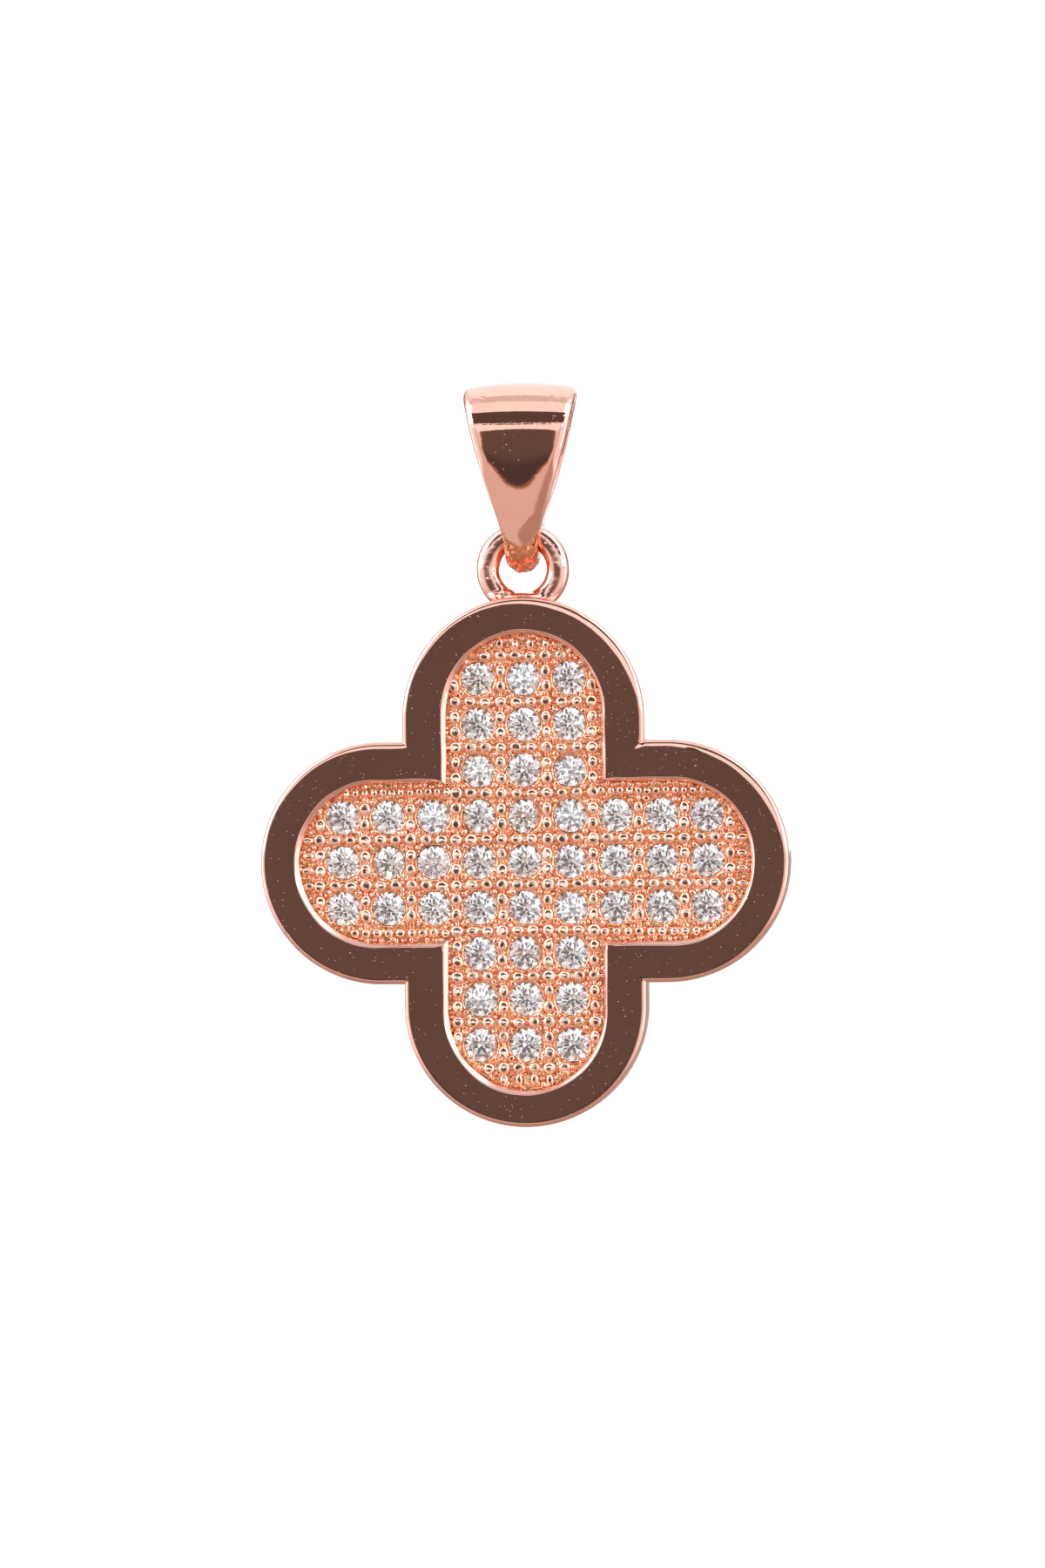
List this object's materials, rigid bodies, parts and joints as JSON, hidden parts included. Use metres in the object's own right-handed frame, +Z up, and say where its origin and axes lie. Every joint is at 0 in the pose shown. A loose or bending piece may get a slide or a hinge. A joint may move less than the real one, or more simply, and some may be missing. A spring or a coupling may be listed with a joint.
{
  "type": "clover pendant with bail",
  "caption": "Four leaf clover pendant with a flat polished rim round a beaded field of small clear stones, hanging by its soldered ring from a tapered bail.",
  "frame": {"origin": "centre of the bail's chain channel, where the chain holds the pendant", "axes": "+Z up, the stone-set face looks towards -Y, the channel runs along X"},
  "size_m": [0.019, 0.0036, 0.0267],
  "materials": {
    "rose_gold": "mirror-polished rose gold plate, left rough as cast in the field and at the bail's solder",
    "clear_stone": "clear, colourless, cut and polished"
  },
  "bodies": {
    "bail": {"bail": "rose_gold"},
    "clover": {"clover": "rose_gold", "stones": "clear_stone"}
  },
  "joints": [
    {"name": "clover_swing", "type": "hinge", "parent": "bail", "child": "clover", "pos_m": [0, 0, -0.00364], "axis": [1, 0, 0], "range_deg": [-90, 90]}
  ]
}
